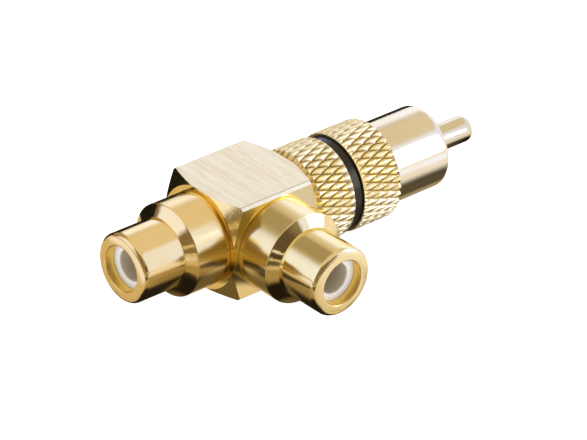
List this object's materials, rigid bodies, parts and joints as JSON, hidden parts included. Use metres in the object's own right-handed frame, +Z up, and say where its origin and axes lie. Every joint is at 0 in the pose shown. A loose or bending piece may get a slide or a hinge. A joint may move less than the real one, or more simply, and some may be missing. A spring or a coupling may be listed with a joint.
{
  "type": "rca splitter adapter",
  "caption": "T-shaped gold-plated audio adapter that feeds one plug's signal to two jacks, one in line with the plug and one square to it, with a knurled grip and a black ring.",
  "frame": {"origin": "centre of the body block's underside, straight below the point where the main axis and the side jack's axis cross", "axes": "+X along the main axis towards the plug's pin, -Y along the side jack's axis out of its mouth, +Z up through the block"},
  "size_m": [0.0518, 0.0233, 0.012],
  "materials": {
    "brushed_gold": "gold plated brass, brushed flats and turned ends",
    "polished_gold": "gold plated brass, bright turned",
    "contact_gold": "gold plated spring brass, as turned",
    "white_plastic": "white moulded plastic",
    "black_plastic": "glossy black plastic"
  },
  "bodies": {
    "root": {"body_block": "brushed_gold", "inline_jack_shell": "polished_gold", "side_jack_shell": "polished_gold", "inline_insulator": "white_plastic", "side_insulator": "white_plastic", "inline_contact": "contact_gold", "side_contact": "contact_gold", "plug_shell": "polished_gold", "colour_ring": "black_plastic", "plug_insulator": "white_plastic", "plug_pin": "polished_gold"}
  },
  "joints": []
}
